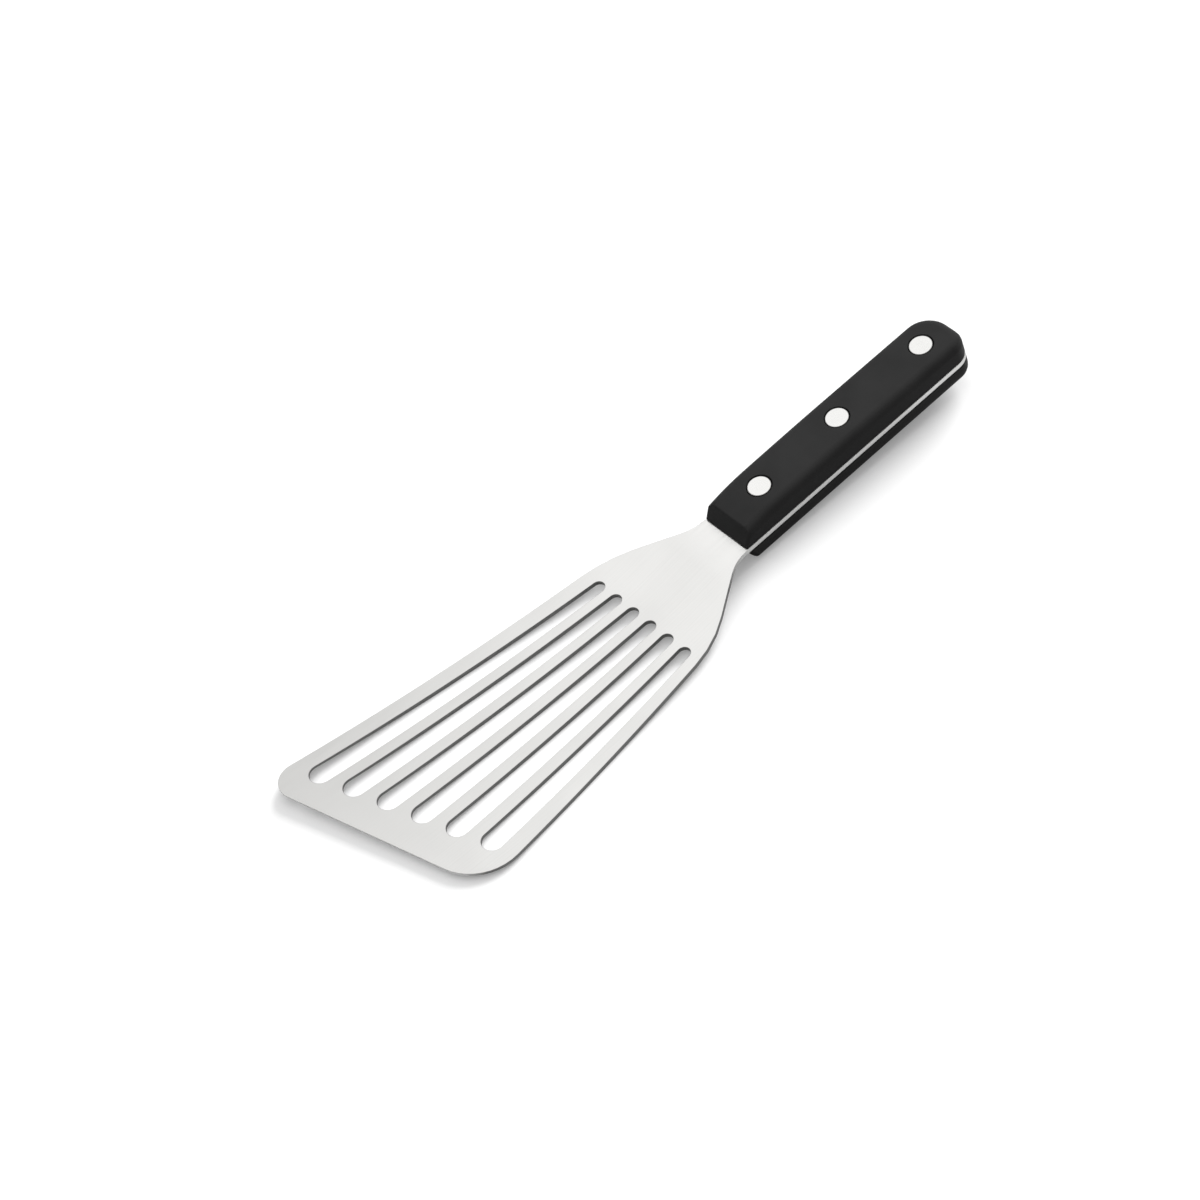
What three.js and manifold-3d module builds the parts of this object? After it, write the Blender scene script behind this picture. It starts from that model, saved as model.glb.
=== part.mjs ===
// A slotted fish turner: one stainless sheet forms the blade and the full tang,
// two black scales clamp the tang as the handle, and three two-part rivets hold them together.
// Millimetres. The tool is drawn with its tang level: X runs from the handle to the tip, Y is sideways
// and Z is up from the middle of the sheet. The finished group is tipped nose down until it lies on Z = 0.
import * as THREE from 'three';
import { mergeVertices } from 'three/addons/utils/BufferGeometryUtils.js';
import Module from 'manifold-3d';

// Sheet: blade, neck and tang
const SHEET_THICKNESS = 1.75;
const FRONT_EDGE_THICKNESS = 0.8;
const GRIND_LENGTH = 60;
const TANG_WIDTH = 20.3;
const NECK_START = 1;
const NECK_BEND_LENGTH = 13;
const NECK_SLOPE_LENGTH = 10;
const NECK_SLOPE = 0.125;
const BLADE_START_SLOPE = 0.02;
const BLADE_RADIUS = 806;

// Plan of the blade
const NECK_LINE_X = 16;
const NECK_LINE_HALF_WIDTH = 17.4;
const NECK_FLARE = 0.66;
const SIDE_LINE_X = 100;
const SIDE_LINE_HALF_WIDTH = 36.1;
const SIDE_FLARE = 0.134;
const FRONT_EDGE_X = 149.6;
const FRONT_EDGE_SLANT = 0.26;
const NECK_INNER_RADIUS = 16;
const NECK_OUTER_RADIUS = 42;
const LEFT_CORNER_RADIUS = 7.6;
const RIGHT_CORNER_RADIUS = 17;

// Slots, which fan out and widen towards the front edge
const SLOT_COUNT = 6;
const SLOT_BACK_X = 36.7;
const SLOT_BACK_PITCH = 8.26;
const SLOT_BACK_SHIFT = 0.7;
const SLOT_BACK_WIDTH = 4.7;
const SLOT_FRONT_X = 138.7;
const SLOT_FRONT_PITCH = 12.55;
const SLOT_FRONT_SHIFT = -1.7;
const SLOT_FRONT_WIDTH = 7.8;
const SLOT_FRONT_SLANT = 0.315;

// Handle
const HANDLE_LENGTH = 101;
const LEFT_BUTT_RADIUS = 9.2;
const RIGHT_BUTT_RADIUS = 6.4;
const SCALE_FRONT_LEAN = 3.2;
const NOSE_LENGTH = 18;
const UPPER = { height: 9.1, edgeRadius: 3.2, frontEdge: 1, frontCorner: 1.1, crown: 0.5, noseDrop: 2.1 };
const LOWER = { height: 8.2, edgeRadius: 4.2, frontEdge: 4, frontCorner: 4, crown: 0, noseDrop: 0 };

// Rivets
const RIVETS = [
  { name: 'front', back: 17 },
  { name: 'middle', back: 51.5 },
  { name: 'rear', back: 89 },
];
const RIVET_HEAD_RADIUS = 4;
const RIVET_HEAD_THICKNESS = 2.2;
const RIVET_HEAD_CHAMFER = 0.25;
const SLEEVE_RADIUS = 2.6;
const POST_RADIUS = 1.6;
const SLEEVE_REACH = 4;
const POST_REACH = 5;

// Clearance between pieces that are clamped or pushed together
const FIT_GAP = 0.3;

// Fineness of round stretches
const ARC_STEP = 0.16;
const EDGE_SEGMENTS = 6;
const ROUND_SEGMENTS = 32;
const PROFILE_STEP = 6;
const NOSE_STEP = 2.5;

const STEEL = { color: 0xdcdbd8, roughness: 0.36, metalness: 1 };
const RIVET_STEEL = { color: 0xecebe8, roughness: 0.28, metalness: 1 };
const BLACK_PLASTIC = { color: 0x2a2a2a, roughness: 0.5, metalness: 0 };

const HALF_SHEET = SHEET_THICKNESS / 2;
const HALF_TANG = TANG_WIDTH / 2;
const HANDLE_MIDDLE = -HANDLE_LENGTH / 2;
const SCALE_INNER = HALF_SHEET + FIT_GAP;
const OVERSIZE = 40;
const ORIGIN = new THREE.Vector2();

const wasm = await Module();
wasm.setup();

// A closed three.js geometry as a solid that can be cut and joined.
function solidOf(geometry) {
  const bare = geometry.clone();
  bare.deleteAttribute('normal');
  bare.deleteAttribute('uv');
  const merged = mergeVertices(bare, 1e-4);
  return new wasm.Manifold(new wasm.Mesh({
    numProp: 3,
    vertProperties: Float32Array.from(merged.attributes.position.array),
    triVerts: Uint32Array.from(merged.index.array),
  }));
}

// A cut or joined solid as a geometry again.
function geometryOf(solid) {
  const mesh = solid.getMesh();
  const geometry = new THREE.BufferGeometry();
  geometry.setAttribute('position', new THREE.BufferAttribute(mesh.vertProperties, 3));
  geometry.setIndex(new THREE.BufferAttribute(mesh.triVerts, 1));
  geometry.computeVertexNormals();
  return geometry;
}

// A geometry with each of its vertices moved.
function reshaped(geometry, move) {
  const place = geometry.attributes.position;
  for (let index = 0; index < place.count; index += 1) {
    const point = new THREE.Vector3().fromBufferAttribute(place, index);
    move(point);
    place.setXYZ(index, ...point);
  }
  return geometry;
}

function namedMesh(name, geometry, look) {
  const mesh = new THREE.Mesh(geometry, new THREE.MeshStandardMaterial(look));
  mesh.name = name;
  return mesh;
}

// A closed outline through corners [x, y, radius], listed anticlockwise, each rounded by its radius.
// A corner with no radius is a plain point.
function roundedOutline(corners) {
  const points = [];
  corners.forEach(([x, y, radius = 0], index) => {
    const corner = new THREE.Vector2(x, y);
    const before = new THREE.Vector2(...corners.at(index - 1)).sub(corner).normalize();
    const after = new THREE.Vector2(...corners[(index + 1) % corners.length]).sub(corner).normalize();
    const turn = Math.PI - Math.acos(THREE.MathUtils.clamp(before.dot(after), -1, 1));
    const reach = radius * Math.tan(turn / 2);
    const start = corner.clone().addScaledVector(before, reach);
    const leftTurn = before.cross(after) < 0;
    const side = new THREE.Vector2(before.y, -before.x).multiplyScalar(leftTurn ? 1 : -1);
    const centre = start.clone().addScaledVector(side, radius);
    const spoke = start.clone().sub(centre);
    const sweep = leftTurn ? turn : -turn;
    const steps = radius > 0 ? Math.max(2, Math.ceil(turn / ARC_STEP)) : 1;
    const last = radius > 0 ? steps : 0;
    for (let step = 0; step <= last; step += 1) {
      points.push(spoke.clone().rotateAround(ORIGIN, (sweep * step) / steps).add(centre));
    }
  });
  return new THREE.Shape(points);
}

// An outline in X and Y raised from one height to another.
function upright(shape, bottom, top) {
  const geometry = new THREE.ExtrudeGeometry(shape, { depth: top - bottom, bevelEnabled: false });
  return solidOf(geometry.translate(0, 0, bottom));
}

// A side view in X and Z drawn out evenly to both sides of the middle.
function sideways(shape, width) {
  const geometry = new THREE.ExtrudeGeometry(shape, { depth: width, bevelEnabled: false });
  return solidOf(geometry.translate(0, 0, -width / 2).rotateX(Math.PI / 2));
}

function roundBar(radius, bottom, top, x) {
  const geometry = new THREE.CylinderGeometry(radius, radius, top - bottom, ROUND_SEGMENTS);
  return solidOf(geometry.rotateX(Math.PI / 2).translate(x, 0, (bottom + top) / 2));
}

// Where two straight lines, each half width = at + slope * (x - from), cross in plan.
function crossing(from, at, slope, otherFrom, otherAt, otherSlope) {
  const x = (otherAt - otherSlope * otherFrom - at + slope * from) / (slope - otherSlope);
  return [x, at + slope * (x - from)];
}

// The front edge runs straight and slants: its X falls as Y grows. Side is -1 on the left, 1 on the right.
function frontCorner(side) {
  const reach = SIDE_LINE_HALF_WIDTH + SIDE_FLARE * (FRONT_EDGE_X - SIDE_LINE_X);
  const y = (side * reach) / (1 + side * SIDE_FLARE * FRONT_EDGE_SLANT);
  return [FRONT_EDGE_X - FRONT_EDGE_SLANT * y, y];
}

// The sheet's middle line as points { x, z, slope }, from the butt to past the tip.
function sheetLine() {
  const bladeLength = FRONT_EDGE_X + OVERSIZE - NECK_START - 2 * NECK_BEND_LENGTH - NECK_SLOPE_LENGTH;
  const runs = [
    { length: HANDLE_LENGTH + OVERSIZE + NECK_START, turn: 0, steps: 1 },
    { length: NECK_BEND_LENGTH, turn: -NECK_SLOPE },
    { length: NECK_SLOPE_LENGTH, turn: 0 },
    { length: NECK_BEND_LENGTH, turn: NECK_SLOPE - BLADE_START_SLOPE },
    { length: bladeLength, turn: bladeLength / BLADE_RADIUS },
  ];
  const line = [{ x: -HANDLE_LENGTH - OVERSIZE, z: 0, slope: 0 }];
  for (const { length, turn, steps = Math.ceil(length / PROFILE_STEP) } of runs) {
    for (let step = 0; step < steps; step += 1) {
      const last = line.at(-1);
      const middle = last.slope + turn / steps / 2;
      line.push({
        x: last.x + (length / steps) * Math.cos(middle),
        z: last.z + (length / steps) * Math.sin(middle),
        slope: last.slope + turn / steps,
      });
    }
  }
  return line;
}

// Thickness below the middle line: full on the tang and neck, ground thinner towards the front edge.
function depthBelow(x) {
  const tip = frontCorner(-1)[0];
  const ground = THREE.MathUtils.clamp((x - tip + GRIND_LENGTH) / GRIND_LENGTH, 0, 1);
  return HALF_SHEET - ground * (SHEET_THICKNESS - FRONT_EDGE_THICKNESS);
}

function offsetPoint({ x, z, slope }, distance) {
  return new THREE.Vector2(x - distance * Math.sin(slope), z + distance * Math.cos(slope));
}

function sheetProfile() {
  const line = sheetLine();
  const top = line.map((point) => offsetPoint(point, HALF_SHEET));
  const underside = line.map((point) => offsetPoint(point, -depthBelow(point.x)));
  return { shape: new THREE.Shape([...underside, ...top.reverse()]), underside };
}

function sheetOutline() {
  const neckFoot = NECK_LINE_X - (NECK_LINE_HALF_WIDTH - HALF_TANG) / NECK_FLARE;
  const [shoulderX, shoulderY] = crossing(
    NECK_LINE_X, NECK_LINE_HALF_WIDTH, NECK_FLARE,
    SIDE_LINE_X, SIDE_LINE_HALF_WIDTH, SIDE_FLARE,
  );
  return roundedOutline([
    [-HANDLE_LENGTH, HALF_TANG, RIGHT_BUTT_RADIUS],
    [-HANDLE_LENGTH, -HALF_TANG, LEFT_BUTT_RADIUS],
    [neckFoot, -HALF_TANG, NECK_INNER_RADIUS],
    [shoulderX, -shoulderY, NECK_OUTER_RADIUS],
    [...frontCorner(-1), LEFT_CORNER_RADIUS],
    [...frontCorner(1), RIGHT_CORNER_RADIUS],
    [shoulderX, shoulderY, NECK_OUTER_RADIUS],
    [neckFoot, HALF_TANG, NECK_INNER_RADIUS],
  ]);
}

// One slot: a small round end at the back and a wider one at the front, joined by straight sides.
function slotOutline(index) {
  const place = index - (SLOT_COUNT - 1) / 2;
  const frontY = SLOT_FRONT_SHIFT + place * SLOT_FRONT_PITCH;
  const apexBack = new THREE.Vector2(SLOT_BACK_X, SLOT_BACK_SHIFT + place * SLOT_BACK_PITCH);
  const apexFront = new THREE.Vector2(SLOT_FRONT_X - SLOT_FRONT_SLANT * frontY, frontY);
  const along = apexFront.clone().sub(apexBack).normalize();
  const backRadius = SLOT_BACK_WIDTH / 2;
  const frontRadius = SLOT_FRONT_WIDTH / 2;
  const back = apexBack.addScaledVector(along, backRadius);
  const front = apexFront.addScaledVector(along, -frontRadius);
  const spread = Math.asin((frontRadius - backRadius) / back.distanceTo(front));
  const heading = along.angle();
  const quarter = Math.PI / 2 + spread;
  const slot = new THREE.Path();
  slot.absarc(front.x, front.y, frontRadius, heading - quarter, heading + quarter, false);
  slot.absarc(back.x, back.y, backRadius, heading + quarter, heading - quarter + 2 * Math.PI, false);
  slot.closePath();
  return slot;
}

function bladeGeometry() {
  const outline = sheetOutline();
  for (let index = 0; index < SLOT_COUNT; index += 1) {
    outline.holes.push(slotOutline(index));
  }
  const drillings = RIVETS.map(({ back }) => {
    return roundBar(SLEEVE_RADIUS + FIT_GAP, -OVERSIZE, OVERSIZE, -back);
  });
  let sheet = sideways(sheetProfile().shape, 4 * SIDE_LINE_HALF_WIDTH);
  sheet = sheet.intersect(upright(outline, -OVERSIZE, OVERSIZE));
  for (const drilling of drillings) {
    sheet = sheet.subtract(drilling);
  }
  return geometryOf(sheet);
}

// Height of a scale's outer face: straight behind the handle's middle, arched ahead of it
// and dropped at the nose.
function outerHeight({ height, crown, noseDrop }, x) {
  const part = (x - HANDLE_MIDDLE) / HANDLE_MIDDLE;
  const nose = Math.max(0, 1 + x / NOSE_LENGTH);
  return height - crown * (part > 0 ? part : part ** 2) - noseDrop * nose ** 2;
}

// The handle's plan, with round corners at the butt and at its front end.
// The lower scale is drawn face up and turned over later, so its sides are swapped.
function handleOutline(form, frontX, frontRadius) {
  const buttRadii = [RIGHT_BUTT_RADIUS, LEFT_BUTT_RADIUS];
  const [rightButt, leftButt] = form === LOWER ? buttRadii.reverse() : buttRadii;
  return roundedOutline([
    [-HANDLE_LENGTH, HALF_TANG, rightButt],
    [-HANDLE_LENGTH, -HALF_TANG, leftButt],
    [frontX, -HALF_TANG, frontRadius],
    [frontX, HALF_TANG, frontRadius],
  ]);
}

// A bar with round upper edges that follows the arch ahead of the handle's middle.
function archedBar(form) {
  const { height, edgeRadius } = form;
  const section = roundedOutline([
    [-HALF_TANG, 0],
    [HALF_TANG, 0],
    [HALF_TANG, height, edgeRadius],
    [-HALF_TANG, height, edgeRadius],
  ]);
  const steps = Math.ceil(HANDLE_LENGTH / NOSE_STEP);
  const bar = new THREE.ExtrudeGeometry(section, { depth: HANDLE_LENGTH, steps, bevelEnabled: false });
  bar.translate(0, 0, -HANDLE_LENGTH).rotateX(Math.PI / 2).rotateZ(Math.PI / 2);
  return solidOf(reshaped(bar, (point) => {
    if (point.z > 0) {
      point.z += outerHeight(form, Math.max(point.x, HANDLE_MIDDLE)) - height;
    }
  }));
}

// A block with the handle's plan and round upper edges, open at the front.
// Its top falls evenly to the butt.
function slopedBlock(form) {
  const { height, edgeRadius } = form;
  const block = new THREE.ExtrudeGeometry(handleOutline(form, OVERSIZE, LEFT_BUTT_RADIUS), {
    depth: 2 * (height - edgeRadius),
    bevelThickness: edgeRadius,
    bevelSize: edgeRadius,
    bevelOffset: -edgeRadius,
    bevelSegments: EDGE_SEGMENTS,
  });
  block.translate(0, 0, edgeRadius - height);
  return solidOf(reshaped(block, (point) => {
    if (point.z > 0) {
      point.z -= (form.crown * (point.x - HANDLE_MIDDLE)) / HANDLE_MIDDLE;
    }
  }));
}

// The handle's plan raised as a prism, with round corners at a front end that leans back.
function leaningPlan(form) {
  const rise = outerHeight(form, -SCALE_FRONT_LEAN) - SCALE_INNER;
  const outline = handleOutline(form, 0, form.frontCorner);
  const prism = new THREE.ExtrudeGeometry(outline, { depth: 2 * rise, bevelEnabled: false });
  reshaped(prism, (point) => {
    if (point.x > HANDLE_MIDDLE) {
      point.x -= (SCALE_FRONT_LEAN * point.z) / rise;
    }
  });
  return solidOf(prism.translate(0, 0, SCALE_INNER));
}

// A side view that rounds the edge between the leaning front end and the outer face.
function roundedFront(form) {
  const frontX = -SCALE_FRONT_LEAN;
  const top = outerHeight(form, frontX);
  const slope = (outerHeight(form, frontX - NOSE_STEP) - top) / NOSE_STEP;
  const back = -HANDLE_LENGTH - OVERSIZE;
  const shape = roundedOutline([
    [back, SCALE_INNER],
    [0, SCALE_INNER],
    [frontX, top, form.frontEdge],
    [back, top + slope * (frontX - back)],
  ]);
  return sideways(shape, 2 * TANG_WIDTH);
}

// One scale, drawn as the upper one.
function scaleGeometry(form) {
  let scale = slopedBlock(form).intersect(leaningPlan(form));
  if (form.noseDrop > 0) {
    scale = scale.intersect(archedBar(form));
  }
  scale = scale.intersect(roundedFront(form));
  for (const { back } of RIVETS) {
    const seat = outerHeight(form, -back) - RIVET_HEAD_THICKNESS - FIT_GAP;
    scale = scale.subtract(roundBar(SLEEVE_RADIUS + FIT_GAP, 0, 2 * form.height, -back));
    scale = scale.subtract(roundBar(RIVET_HEAD_RADIUS + FIT_GAP, seat, 2 * form.height, -back));
  }
  return geometryOf(scale);
}

// A turned piece from a profile of [radius, height] points that starts and ends on the axis.
function turned(profile) {
  const points = profile.map(([radius, height]) => new THREE.Vector2(radius, height));
  return new THREE.LatheGeometry(points, ROUND_SEGMENTS).rotateX(Math.PI / 2);
}

// Upper half of a rivet: a flat head with a solid post below it. Z = 0 is the middle of the sheet.
function postGeometry(headTop) {
  const headBottom = headTop - RIVET_HEAD_THICKNESS;
  return turned([
    [0, -POST_REACH],
    [POST_RADIUS, -POST_REACH],
    [POST_RADIUS, headBottom],
    [RIVET_HEAD_RADIUS, headBottom],
    [RIVET_HEAD_RADIUS, headTop - RIVET_HEAD_CHAMFER],
    [RIVET_HEAD_RADIUS - RIVET_HEAD_CHAMFER, headTop],
    [0, headTop],
  ]);
}

// Lower half of a rivet: the same head with a hollow sleeve that takes the post.
function sleeveGeometry(headDepth) {
  const headTop = RIVET_HEAD_THICKNESS - headDepth;
  const bore = POST_RADIUS + FIT_GAP;
  return turned([
    [0, -headDepth],
    [RIVET_HEAD_RADIUS - RIVET_HEAD_CHAMFER, -headDepth],
    [RIVET_HEAD_RADIUS, RIVET_HEAD_CHAMFER - headDepth],
    [RIVET_HEAD_RADIUS, headTop],
    [SLEEVE_RADIUS, headTop],
    [SLEEVE_RADIUS, SLEEVE_REACH],
    [bore, SLEEVE_REACH],
    [bore, -POST_REACH - FIT_GAP],
    [0, -POST_REACH - FIT_GAP],
  ]);
}

// Nose-down lean, in radians, at which one level plane touches the lower scale's rounded front edge
// and the blade's belly.
function restingLean() {
  const faceAngle = Math.atan2(LOWER.height - SCALE_INNER, SCALE_FRONT_LEAN);
  const edgeX = -SCALE_FRONT_LEAN - LOWER.frontEdge * Math.tan(faceAngle / 2);
  const edgeCentre = new THREE.Vector2(edgeX, LOWER.frontEdge - LOWER.height);
  const belly = sheetProfile().underside.filter(({ x }) => x > NECK_START && x < FRONT_EDGE_X);
  return Math.min(...belly.map((point) => {
    const arm = point.clone().sub(edgeCentre);
    return Math.atan2(arm.y, arm.x) + Math.asin(LOWER.frontEdge / arm.length());
  }));
}

const tool = new THREE.Group();
tool.add(namedMesh('blade', bladeGeometry(), STEEL));

tool.add(namedMesh('upper_scale', scaleGeometry(UPPER), BLACK_PLASTIC));
tool.add(namedMesh('lower_scale', scaleGeometry(LOWER).rotateX(Math.PI), BLACK_PLASTIC));

for (const { name, back } of RIVETS) {
  const headTop = outerHeight(UPPER, -back);
  const headDepth = outerHeight(LOWER, -back);
  const post = namedMesh(`${name}_rivet_post`, postGeometry(headTop), RIVET_STEEL);
  const sleeve = namedMesh(`${name}_rivet_sleeve`, sleeveGeometry(headDepth), RIVET_STEEL);
  post.position.x = -back;
  sleeve.position.x = -back;
  tool.add(post, sleeve);
}

// The tool lies on Z = 0, with the middle of its box over the origin.
tool.rotation.y = restingLean();
const turner = new THREE.Group();
turner.add(tool);
turner.updateMatrixWorld(true);
const box = new THREE.Box3().setFromObject(turner, true);
const middle = box.getCenter(new THREE.Vector3());
tool.position.set(-middle.x, -middle.y, -box.min.z);

export default turner;
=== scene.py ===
# A slotted turner on a white table: a finely brushed steel blade, satin black scales, bright rivets.
import math

import bmesh
import bpy
from mathutils import Matrix, Vector


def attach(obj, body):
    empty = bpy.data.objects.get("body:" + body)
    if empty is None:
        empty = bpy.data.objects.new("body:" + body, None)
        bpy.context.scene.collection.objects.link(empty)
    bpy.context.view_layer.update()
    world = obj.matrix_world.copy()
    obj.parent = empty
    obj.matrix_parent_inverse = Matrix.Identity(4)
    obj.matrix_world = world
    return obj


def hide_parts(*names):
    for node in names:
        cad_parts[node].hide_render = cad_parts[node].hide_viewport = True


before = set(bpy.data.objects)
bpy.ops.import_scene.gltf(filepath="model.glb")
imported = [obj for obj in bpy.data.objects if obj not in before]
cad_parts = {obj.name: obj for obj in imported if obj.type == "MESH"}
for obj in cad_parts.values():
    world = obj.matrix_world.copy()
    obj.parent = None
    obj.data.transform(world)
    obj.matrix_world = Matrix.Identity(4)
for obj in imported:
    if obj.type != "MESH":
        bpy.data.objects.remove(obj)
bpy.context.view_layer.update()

RIVETS = ("front", "middle", "rear")
RIVET_HALVES = ("post", "sleeve")
WHITE = (1, 1, 1, 1)

# Camera, fitted to the photograph: places in metres, lens and sensor in millimetres
CAMERA_EYE = Vector((0.438543, 0.826301, 1.075024))
CAMERA_TARGET = Vector((0.014847, -0.01064, 0.008))
CAMERA_ROLL = math.radians(-18.380)
CAMERA_LENS = 135
CAMERA_SENSOR = 36
CAMERA_REACH = 20

# Overhead light: where it comes from, how near to that it starts and is full, and its brightness
OVERHEAD_FROM = Vector((-0.04, -0.25, 1.00))
OVERHEAD_FADES_AT, OVERHEAD_FULL_AT = 0.3, 1.0
OVERHEAD_STRENGTH = 1.26
ROOM_LIGHT = 0.12

# Lamp behind the handle: where it shines from, how wide it is and how bright
LAMP_FROM = Vector((-0.80, -0.20, 0.45))
LAMP_WIDTH = math.radians(38)
LAMP_STRENGTH = 4.27

# Table: reach in metres, roughness, how white it looks, how much it throws back, and its own glow
TABLE_REACH = 4.0
TABLE_ROUGHNESS = 0.9
TABLE_WHITE = 0.67
TABLE_BOUNCE = 0.5
TABLE_GLOW = 0.25

# Edge easing, in metres, and the angle from which an edge is sharp
BLADE_EASE = 0.00014
SCALE_EASE = 0.00025
RIVET_EASE = 0.00012
EASE_STEPS = 2
CREASE = math.radians(35)

# Corners closer than this are one corner, in metres, and facets within this angle are one face
SAME_CORNER = 1e-6
SAME_FACE = math.radians(0.05)
# How much more the large faces count than the narrow eased ones when the shading is evened
LARGE_FACE_WEIGHT = 95

# A fold between two facets of the blade runs through the slots' back ends, in metres
SLOT_BACK_X = 0.0076
SLOT_BACK_REACH = 0.0004
FACET_TILT = 0.9

# Finishes: stretch of the grain, size of the clouds, dark and bright tone, least and most roughness
BLADE_STEEL = {"stretch": (40, 1800, 40), "clouds": 35, "rough": (0.30, 0.40),
               "tones": ((0.64, 0.637, 0.625), (0.73, 0.726, 0.713))}
RIVET_STEEL = {"stretch": (1800, 1800, 1800), "clouds": 400, "rough": (0.24, 0.34),
               "tones": ((0.72, 0.717, 0.703), (0.75, 0.746, 0.732))}
PLASTIC = {"stretch": (2600, 2600, 2600), "clouds": 90, "rough": (0.42, 0.50),
           "tones": ((0.020, 0.020, 0.020), (0.0245, 0.0245, 0.0245))}
PLASTIC_SHINE = 0.07

# Grain: the part of its range that is used, how fine it is, and how deep in metres and how strong
GRAIN_LOW, GRAIN_HIGH = 0.3, 0.7
SCRATCH_DETAIL = 3.0
CLOUD_DETAIL = 2.0
GRAIN_DEPTH = 0.00001
STEEL_RELIEF = 0.4
PLASTIC_RELIEF = 0.35

# Painted shade on the blade's faces: they darken slowly from the neck and the right side towards the
# front left corner
PAINTED_SHADE_TONE = (0.585, 0.582, 0.571)
SHADE_FROM_X, SHADE_TO_X = 0.0, 0.105
SHADE_FROM_Y, SHADE_TO_Y = 0.036, -0.036

# Painted light: next to the handle the neck is painted brighter
NECK_LIGHT_TONE = (0.73, 0.726, 0.714)
NECK_LIGHT_FROM_X, NECK_LIGHT_FULL_X = -0.015, -0.025

# Ahead of the handle the sheet's walls are rougher from cutting and painted grey, a duller cut
# finish with painted shade
CUT_WALL_SHADE_TONE = (0.38, 0.38, 0.375)
CUT_ROUGHNESS = 0.8
CUT_FROM_X, CUT_FULL_X = -0.0287, -0.016
FACE_TILT, WALL_TILT = 0.92, 0.55

# Along the tang and the front edge the walls are painted bright: a ground finish with painted light
# on it
GROUND_AND_LIGHT_TONE = (0.93, 0.93, 0.92)
FRONT_EDGE_FROM_X = 0.06
FRONT_EDGE_TURN, FRONT_EDGE_FULL_TURN = 0.5, 0.8

# Painted shade on the eased edges on the left and behind: how far they lean away, and how steep they
# are
RIM_SHADE_TONE = (0.20, 0.20, 0.195)
RIM_LEAN, RIM_FULL_LEAN = 0.25, 0.45
RIM_FLAT, RIM_SLOPE = 0.985, 0.9
RIM_WALL, RIM_EDGE = 0.1, 0.4
RIM_BEHIND = -0.5


def runs_through_slot_backs(edge):
    """Whether an edge is part of the fold at the slots' back ends, where easing leaves slivers."""
    near = all(abs(corner.co.x - SLOT_BACK_X) < SLOT_BACK_REACH for corner in edge.verts)
    level = all(abs(face.normal.z) > FACET_TILT for face in edge.link_faces)
    return near and level and edge.is_manifold


def eased_mesh(node, name, ease):
    """A CAD solid's mesh with its flat facets joined and its sharp edges eased."""
    bm = bmesh.new()
    bm.from_mesh(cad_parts[node].data)
    bmesh.ops.remove_doubles(bm, verts=bm.verts, dist=SAME_CORNER)
    bmesh.ops.dissolve_limit(bm, angle_limit=SAME_FACE, verts=bm.verts, edges=bm.edges)
    folds = [edge for edge in bm.edges if runs_through_slot_backs(edge)]
    bmesh.ops.dissolve_edges(bm, edges=folds, use_verts=False)
    sharp = [edge for edge in bm.edges if edge.is_manifold and edge.calc_face_angle() > CREASE]
    bmesh.ops.bevel(bm, geom=sharp, offset=ease, offset_type="OFFSET", affect="EDGES",
                    segments=EASE_STEPS, profile=0.5, material=-1, clamp_overlap=False)
    bmesh.ops.dissolve_degenerate(bm, dist=SAME_CORNER, edges=bm.edges)
    for face in bm.faces:
        face.smooth = True
        face.material_index = 0
    mesh = bpy.data.meshes.new(name)
    bm.to_mesh(mesh)
    bm.free()
    return mesh


def softened(node, name, ease):
    """The piece that stands for a CAD solid, with eased edges and smoothly shaded curves."""
    piece = bpy.data.objects.new(name, eased_mesh(node, name, ease))
    bpy.context.scene.collection.objects.link(piece)
    even = piece.modifiers.new("even shading", "WEIGHTED_NORMAL")
    even.keep_sharp = True
    even.weight = LARGE_FACE_WEIGHT
    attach(piece, "root")
    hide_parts(node)
    return piece


def set_input(node, name, value):
    node.inputs[name].default_value = value


def new_material(name):
    """A new finish, with its node tree and its shader."""
    material = bpy.data.materials.new(name)
    material.use_nodes = True
    tree = material.node_tree
    return material, tree, tree.nodes["Principled BSDF"]


def math_node(tree, operation, *values):
    """One sum of numbers and outputs of other nodes."""
    result = tree.nodes.new("ShaderNodeMath")
    result.operation = operation
    for place, value in enumerate(values):
        if isinstance(value, float):
            result.inputs[place].default_value = value
        else:
            tree.links.new(value, result.inputs[place])
    return result.outputs["Value"]


def product(tree, first, second):
    return math_node(tree, "MULTIPLY", first, second)


def mean_of(tree, first, second):
    return product(tree, math_node(tree, "ADD", first, second), 0.5)


def ranged(tree, value, start, end, low=0.0, high=1.0, course="LINEAR"):
    """A value that is low up to start, high from end on, and runs evenly or smoothly between."""
    scale = tree.nodes.new("ShaderNodeMapRange")
    scale.interpolation_type = course
    set_input(scale, "From Min", start)
    set_input(scale, "From Max", end)
    set_input(scale, "To Min", low)
    set_input(scale, "To Max", high)
    tree.links.new(value, scale.inputs["Value"])
    return scale.outputs["Result"]


def parts_of(tree, vector):
    """A direction's or a place's X, Y and Z."""
    split = tree.nodes.new("ShaderNodeSeparateXYZ")
    tree.links.new(vector, split.inputs["Vector"])
    return split.outputs


def blend(tree, mask, below, tone_above):
    """A colour with another tone laid over it where the mask is 1."""
    mix = tree.nodes.new("ShaderNodeMix")
    mix.data_type = "RGBA"
    colours = [entry for entry in mix.inputs if entry.type == "RGBA"]
    tree.links.new(mask, mix.inputs["Factor"])
    tree.links.new(below, colours[0])
    colours[1].default_value = (*tone_above, 1)
    return next(out for out in mix.outputs if out.type == "RGBA")


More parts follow.
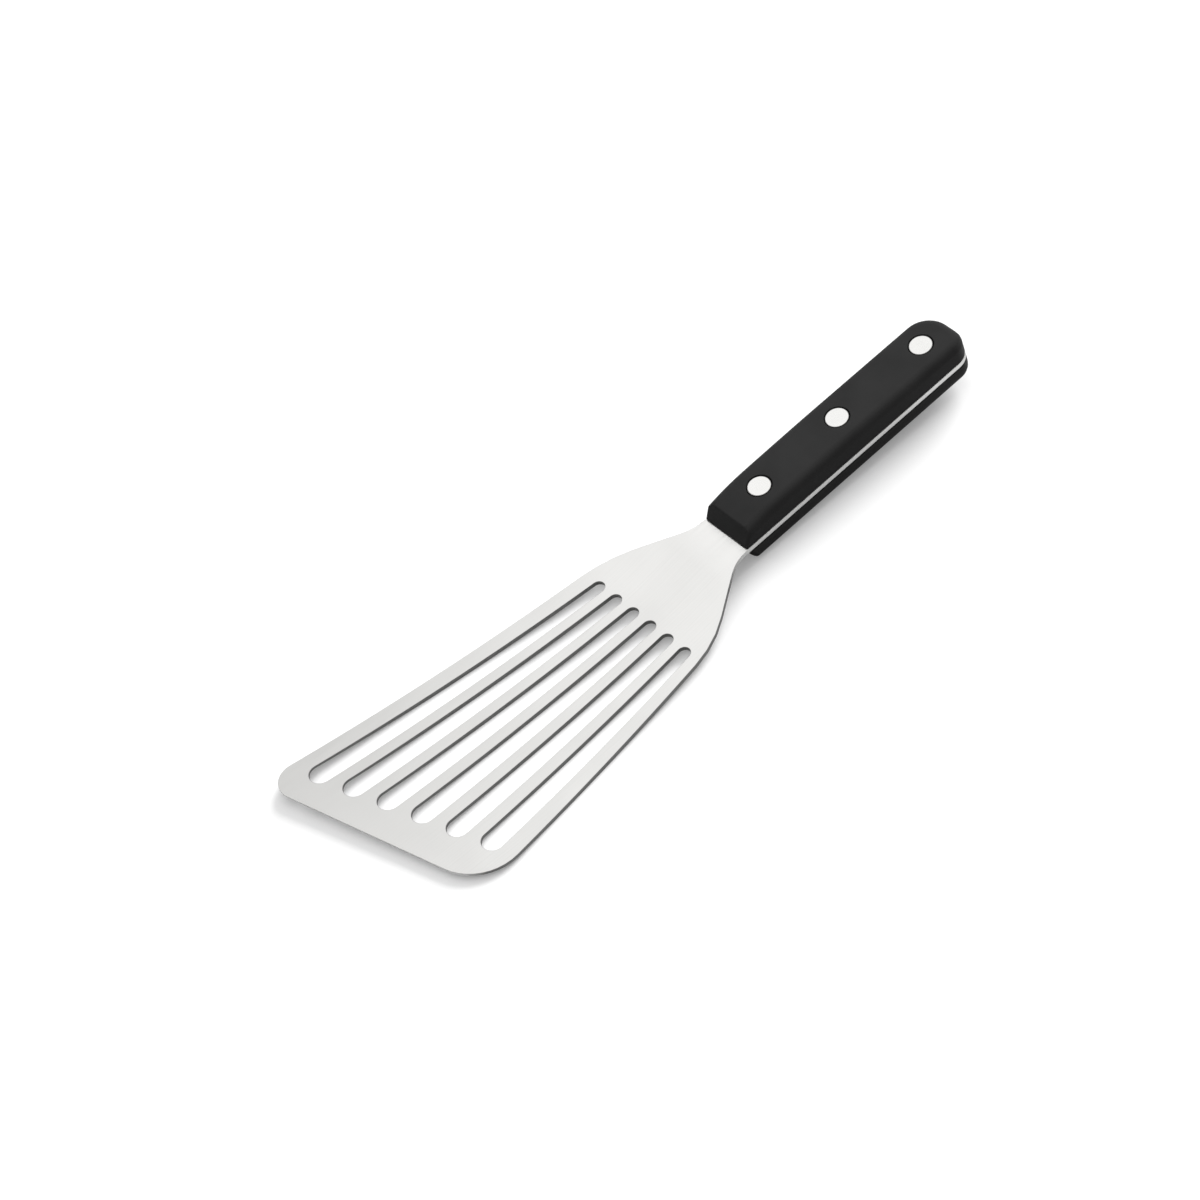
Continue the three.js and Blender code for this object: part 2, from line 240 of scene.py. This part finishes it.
def grain_group():
    """Fine scratches drawn out along one direction, and a slow cloudiness, both from 0 to 1."""
    group = bpy.data.node_groups.new("drawn grain", "ShaderNodeTree")
    for name, kind in (("Place", "Vector"), ("Stretch", "Vector"), ("Cloud Scale", "Float")):
        group.interface.new_socket(name, in_out="INPUT", socket_type="NodeSocket" + kind)
    for name in ("Grain", "Cloud"):
        group.interface.new_socket(name, in_out="OUTPUT", socket_type="NodeSocketFloat")
    given = group.nodes.new("NodeGroupInput")
    result = group.nodes.new("NodeGroupOutput")
    stretch = group.nodes.new("ShaderNodeMapping")
    group.links.new(given.outputs["Place"], stretch.inputs["Vector"])
    group.links.new(given.outputs["Stretch"], stretch.inputs["Scale"])
    scratches = group.nodes.new("ShaderNodeTexNoise")
    set_input(scratches, "Scale", 1.0)
    set_input(scratches, "Detail", SCRATCH_DETAIL)
    group.links.new(stretch.outputs["Vector"], scratches.inputs["Vector"])
    group.links.new(scratches.outputs["Fac"], result.inputs["Grain"])
    cloud = group.nodes.new("ShaderNodeTexNoise")
    set_input(cloud, "Detail", CLOUD_DETAIL)
    group.links.new(given.outputs["Place"], cloud.inputs["Vector"])
    group.links.new(given.outputs["Cloud Scale"], cloud.inputs["Scale"])
    group.links.new(cloud.outputs["Fac"], result.inputs["Cloud"])
    return group


def place_grain(tree, group, finish):
    """The grain as a finish stretches it, laid out in the piece's own place."""
    where = tree.nodes.new("ShaderNodeTexCoord")
    grain = tree.nodes.new("ShaderNodeGroup")
    grain.node_tree = group
    tree.links.new(where.outputs["Object"], grain.inputs["Place"])
    set_input(grain, "Stretch", finish["stretch"])
    set_input(grain, "Cloud Scale", finish["clouds"])
    return grain.outputs


def tone(tree, value, dark, bright):
    """A colour between two tones, chosen by the grain or the clouds."""
    ramp = tree.nodes.new("ShaderNodeValToRGB")
    ends = ramp.color_ramp.elements
    for end, position, colour in zip(ends, (GRAIN_LOW, GRAIN_HIGH), (dark, bright)):
        end.position = position
        end.color = (*colour, 1)
    tree.links.new(value, ramp.inputs["Fac"])
    return ramp.outputs["Color"]


def relief(tree, height, strength):
    """A surface roughened by the grain."""
    bump = tree.nodes.new("ShaderNodeBump")
    set_input(bump, "Distance", GRAIN_DEPTH)
    set_input(bump, "Strength", strength)
    tree.links.new(height, bump.inputs["Height"])
    return bump.outputs["Normal"]


def steel(name, group, finish):
    """Bare steel whose tone, roughness and surface follow its grain."""
    material, tree, shader = new_material(name)
    set_input(shader, "Metallic", 1.0)
    grain = place_grain(tree, group, finish)
    shade = mean_of(tree, grain["Cloud"], grain["Grain"])
    rough = ranged(tree, grain["Grain"], GRAIN_LOW, GRAIN_HIGH, *finish["rough"])
    tree.links.new(tone(tree, shade, *finish["tones"]), shader.inputs["Base Color"])
    tree.links.new(rough, shader.inputs["Roughness"])
    tree.links.new(relief(tree, grain["Grain"], STEEL_RELIEF), shader.inputs["Normal"])
    return material


def black_plastic(group):
    """Satin black plastic, a little cloudy, with a very fine grain."""
    material, tree, shader = new_material("satin black plastic")
    set_input(shader, "Metallic", 0.0)
    set_input(shader, "Specular IOR Level", PLASTIC_SHINE)
    grain = place_grain(tree, group, PLASTIC)
    rough = ranged(tree, grain["Cloud"], GRAIN_LOW, GRAIN_HIGH, *PLASTIC["rough"])
    tree.links.new(tone(tree, grain["Cloud"], *PLASTIC["tones"]), shader.inputs["Base Color"])
    tree.links.new(rough, shader.inputs["Roughness"])
    tree.links.new(relief(tree, grain["Grain"], PLASTIC_RELIEF), shader.inputs["Normal"])
    return material


def painted_face_shade(tree, place):
    """Where the blade's faces get painted shade: more and more towards the front left corner."""
    forward = ranged(tree, place["X"], SHADE_FROM_X, SHADE_TO_X)
    leftward = ranged(tree, place["Y"], SHADE_FROM_Y, SHADE_TO_Y)
    return product(tree, forward, leftward)


def sheet_walls(tree, place, upward):
    """Where the sheet's walls are cut, ahead of the handle, and where ground, along the tang: masks
    for painted shade and painted light.
    """
    wall = ranged(tree, upward, FACE_TILT, WALL_TILT)
    cut = product(tree, wall, ranged(tree, place["X"], CUT_FROM_X, CUT_FULL_X))
    tang = math_node(tree, "SUBTRACT", wall, cut)
    return cut, tang


def ground_front_and_highlight(tree, place, facing):
    """Where the blade's front edge gets its bright ground tone, with a painted highlight."""
    at_front = math_node(tree, "GREATER_THAN", place["X"], FRONT_EDGE_FROM_X)
    turned = ranged(tree, facing["X"], FRONT_EDGE_TURN, FRONT_EDGE_FULL_TURN)
    return product(tree, at_front, turned)


def painted_rim_shade(tree, facing, upward):
    """Where an eased edge leans away to the left or behind and gets painted shade."""
    back = product(tree, facing["X"], RIM_BEHIND)
    lean = math_node(tree, "SUBTRACT", back, facing["Y"])
    away = ranged(tree, lean, RIM_LEAN, RIM_FULL_LEAN)
    off_the_face = ranged(tree, upward, RIM_FLAT, RIM_SLOPE)
    off_the_wall = ranged(tree, upward, RIM_WALL, RIM_EDGE)
    return product(tree, product(tree, off_the_face, off_the_wall), away)


def roughen_walls(tree, roughness, cut):
    """Keeps the brushed roughness on the faces, and makes the cut walls rougher."""
    uncut = math_node(tree, "SUBTRACT", 1.0, cut)
    brushed = product(tree, roughness.links[0].from_socket, uncut)
    rough_walls = product(tree, cut, CUT_ROUGHNESS)
    tree.links.new(math_node(tree, "ADD", brushed, rough_walls), roughness)


def finish_and_shade_sheet(material):
    """Paints shade on the blade's faces, cut walls and leaning rims, and light by the neck and on
    its ground walls.
    """
    tree = material.node_tree
    shader = tree.nodes["Principled BSDF"]
    place = parts_of(tree, tree.nodes.new("ShaderNodeTexCoord").outputs["Object"])
    facing = parts_of(tree, tree.nodes.new("ShaderNodeNewGeometry").outputs["Normal"])
    upward = math_node(tree, "ABSOLUTE", facing["Z"])
    # Painted light on the neck next to the handle
    neck = ranged(tree, place["X"], NECK_LIGHT_FROM_X, NECK_LIGHT_FULL_X)
    cut, tang = sheet_walls(tree, place, upward)
    colour = shader.inputs["Base Color"]
    shade = colour.links[0].from_socket
    # Coats: painted shade on faces, painted light by the neck, painted shade on cut walls, ground
    # tone with painted light, painted shade on rims
    for mask, tone_above in ((painted_face_shade(tree, place), PAINTED_SHADE_TONE), (neck, NECK_LIGHT_TONE),
                             (cut, CUT_WALL_SHADE_TONE), (tang, GROUND_AND_LIGHT_TONE),
                             (ground_front_and_highlight(tree, place, facing), GROUND_AND_LIGHT_TONE),
                             (painted_rim_shade(tree, facing, upward), RIM_SHADE_TONE)):
        shade = blend(tree, mask, shade, tone_above)
    tree.links.new(shade, colour)
    roughen_walls(tree, shader.inputs["Roughness"], cut)


def dress(piece, material):
    piece.data.materials.clear()
    piece.data.materials.append(material)


def build_turner():
    """The blade, the two scales and the three rivets, each in its finish."""
    grain = grain_group()
    sheet = steel("brushed blade steel", grain, BLADE_STEEL)
    bright = steel("ground rivet steel", grain, RIVET_STEEL)
    plastic = black_plastic(grain)
    finish_and_shade_sheet(sheet)
    dress(softened("blade", "brushed_blade", BLADE_EASE), sheet)
    dress(softened("upper_scale", "black_upper_scale", SCALE_EASE), plastic)
    dress(softened("lower_scale", "black_lower_scale", SCALE_EASE), plastic)
    for place in RIVETS:
        for half in RIVET_HALVES:
            piece = softened(f"{place}_rivet_{half}", f"{place}_bright_{half}", RIVET_EASE)
            dress(piece, bright)


def table_finish():
    """Matt white with a weak glow that keeps shadows pale. It throws back less than it shows."""
    material, tree, shader = new_material("white table")
    set_input(shader, "Roughness", TABLE_ROUGHNESS)
    set_input(shader, "Specular IOR Level", 0.0)
    set_input(shader, "Emission Color", WHITE)
    seen = tree.nodes.new("ShaderNodeLightPath").outputs["Is Camera Ray"]
    white = ranged(tree, seen, 0.0, 1.0, TABLE_BOUNCE, TABLE_WHITE)
    tree.links.new(white, shader.inputs["Base Color"])
    tree.links.new(product(tree, seen, TABLE_GLOW), shader.inputs["Emission Strength"])
    return material


def table():
    """A wide white table top under the turner."""
    bm = bmesh.new()
    bmesh.ops.create_grid(bm, x_segments=1, y_segments=1, size=TABLE_REACH)
    mesh = bpy.data.meshes.new("table")
    bm.to_mesh(mesh)
    bm.free()
    mesh.materials.append(table_finish())
    floor = bpy.data.objects.new("table", mesh)
    bpy.context.scene.collection.objects.link(floor)


def overhead_light(tree):
    """How much of the soft overhead light shines from each direction of the sky."""
    where = tree.nodes.new("ShaderNodeTexCoord")
    facing = tree.nodes.new("ShaderNodeVectorMath")
    facing.operation = "DOT_PRODUCT"
    facing.inputs[1].default_value = OVERHEAD_FROM.normalized()
    tree.links.new(where.outputs["Generated"], facing.inputs[0])
    return ranged(tree, facing.outputs["Value"], OVERHEAD_FADES_AT, OVERHEAD_FULL_AT,
                  high=OVERHEAD_STRENGTH, course="SMOOTHSTEP")


def studio():
    """A pale studio with one wide light overhead."""
    world = bpy.data.worlds.new("studio")
    world.use_nodes = True
    tree = world.node_tree
    sky = math_node(tree, "ADD", overhead_light(tree), ROOM_LIGHT)
    tree.links.new(sky, tree.nodes["Background"].inputs["Strength"])
    set_input(tree.nodes["Background"], "Color", WHITE)
    bpy.context.scene.world = world
    bpy.context.scene.view_settings.view_transform = "Standard"


def lamp_behind():
    """A soft lamp low behind the handle. The steel doesn't mirror it, so it keeps its tones."""
    light = bpy.data.lights.new("lamp behind", "SUN")
    light.energy = LAMP_STRENGTH
    light.angle = LAMP_WIDTH
    lamp = bpy.data.objects.new("lamp behind", light)
    lamp.rotation_euler = LAMP_FROM.to_track_quat("Z", "Y").to_euler()
    lamp.visible_glossy = False
    bpy.context.scene.collection.objects.link(lamp)


def camera():
    """The camera at the photograph's place and angle."""
    data = bpy.data.cameras.new("camera")
    data.lens = CAMERA_LENS
    data.sensor_width = CAMERA_SENSOR
    data.clip_end = CAMERA_REACH
    eye = bpy.data.objects.new("camera", data)
    bpy.context.scene.collection.objects.link(eye)
    level = (CAMERA_TARGET - CAMERA_EYE).to_track_quat("-Z", "Y").to_matrix()
    turn = Matrix.Rotation(CAMERA_ROLL, 3, "Z")
    eye.matrix_world = Matrix.Translation(CAMERA_EYE) @ (level @ turn).to_4x4()
    bpy.context.scene.camera = eye


build_turner()
table()
studio()
lamp_behind()
camera()
